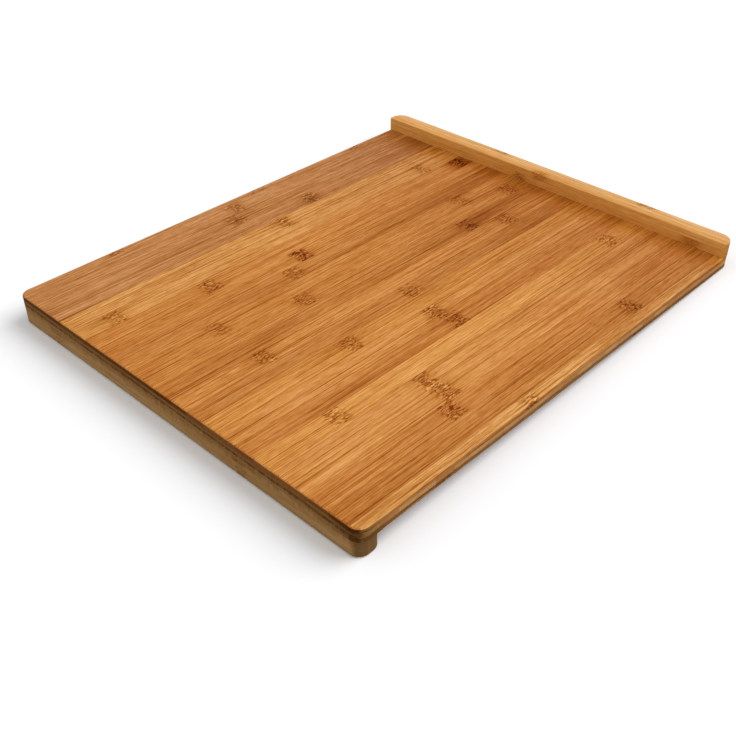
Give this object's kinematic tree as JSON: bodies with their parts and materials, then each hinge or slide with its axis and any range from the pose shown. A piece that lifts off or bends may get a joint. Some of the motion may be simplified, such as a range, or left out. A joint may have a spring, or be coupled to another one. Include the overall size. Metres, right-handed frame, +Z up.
{
  "type": "carving board",
  "caption": "Bamboo carving board of crossed lath plies, with a low rail along its back edge and a lip under its front edge that hooks over a worktop.",
  "frame": {"origin": "below the middle of the board, at the height of the lip's lowest face", "axes": "+X to the right seen from the lip, +Y from the lip to the rail, +Z up from the worktop"},
  "size_m": [0.4388, 0.5218, 0.0432],
  "materials": {
    "top_bamboo": "satin oiled",
    "core_bamboo": "satin oiled",
    "bottom_bamboo": "satin oiled",
    "rail_bamboo": "satin oiled",
    "lip_bamboo": "satin oiled",
    "dowel_wood": "raw"
  },
  "bodies": {
    "root": {"bottom_lath_01": "bottom_bamboo", "bottom_lath_02": "bottom_bamboo", "bottom_lath_03": "bottom_bamboo", "bottom_lath_04": "bottom_bamboo", "bottom_lath_05": "bottom_bamboo", "bottom_lath_06": "bottom_bamboo", "bottom_lath_07": "bottom_bamboo", "bottom_lath_08": "bottom_bamboo", "bottom_lath_09": "bottom_bamboo", "bottom_lath_10": "bottom_bamboo", "bottom_lath_11": "bottom_bamboo", "bottom_lath_12": "bottom_bamboo", "bottom_lath_13": "bottom_bamboo", "bottom_lath_14": "bottom_bamboo", "bottom_lath_15": "bottom_bamboo", "bottom_lath_16": "bottom_bamboo", "bottom_lath_17": "bottom_bamboo", "bottom_lath_18": "bottom_bamboo", "bottom_lath_19": "bottom_bamboo", "bottom_lath_20": "bottom_bamboo", "bottom_lath_21": "bottom_bamboo", "bottom_lath_22": "bottom_bamboo", "bottom_lath_23": "bottom_bamboo", "core_laths": "core_bamboo", "lip_dowels": "dowel_wood", "lip_lath_back": "lip_bamboo", "lip_lath_front": "lip_bamboo", "lip_lath_middle": "lip_bamboo", "rail_dowels": "dowel_wood", "rail_slat_lower_back": "rail_bamboo", "rail_slat_lower_front": "rail_bamboo", "rail_slat_lower_middle": "rail_bamboo", "rail_slat_upper_back": "rail_bamboo", "rail_slat_upper_front": "rail_bamboo", "rail_slat_upper_middle": "rail_bamboo", "top_lath_01": "top_bamboo", "top_lath_02": "top_bamboo", "top_lath_03": "top_bamboo", "top_lath_04": "top_bamboo", "top_lath_05": "top_bamboo", "top_lath_06": "top_bamboo", "top_lath_07": "top_bamboo", "top_lath_08": "top_bamboo", "top_lath_09": "top_bamboo", "top_lath_10": "top_bamboo", "top_lath_11": "top_bamboo", "top_lath_12": "top_bamboo", "top_lath_13": "top_bamboo", "top_lath_14": "top_bamboo", "top_lath_15": "top_bamboo", "top_lath_16": "top_bamboo", "top_lath_17": "top_bamboo", "top_lath_18": "top_bamboo", "top_lath_19": "top_bamboo", "top_lath_20": "top_bamboo", "top_lath_21": "top_bamboo", "top_lath_22": "top_bamboo", "top_lath_23": "top_bamboo"}
  },
  "joints": []
}
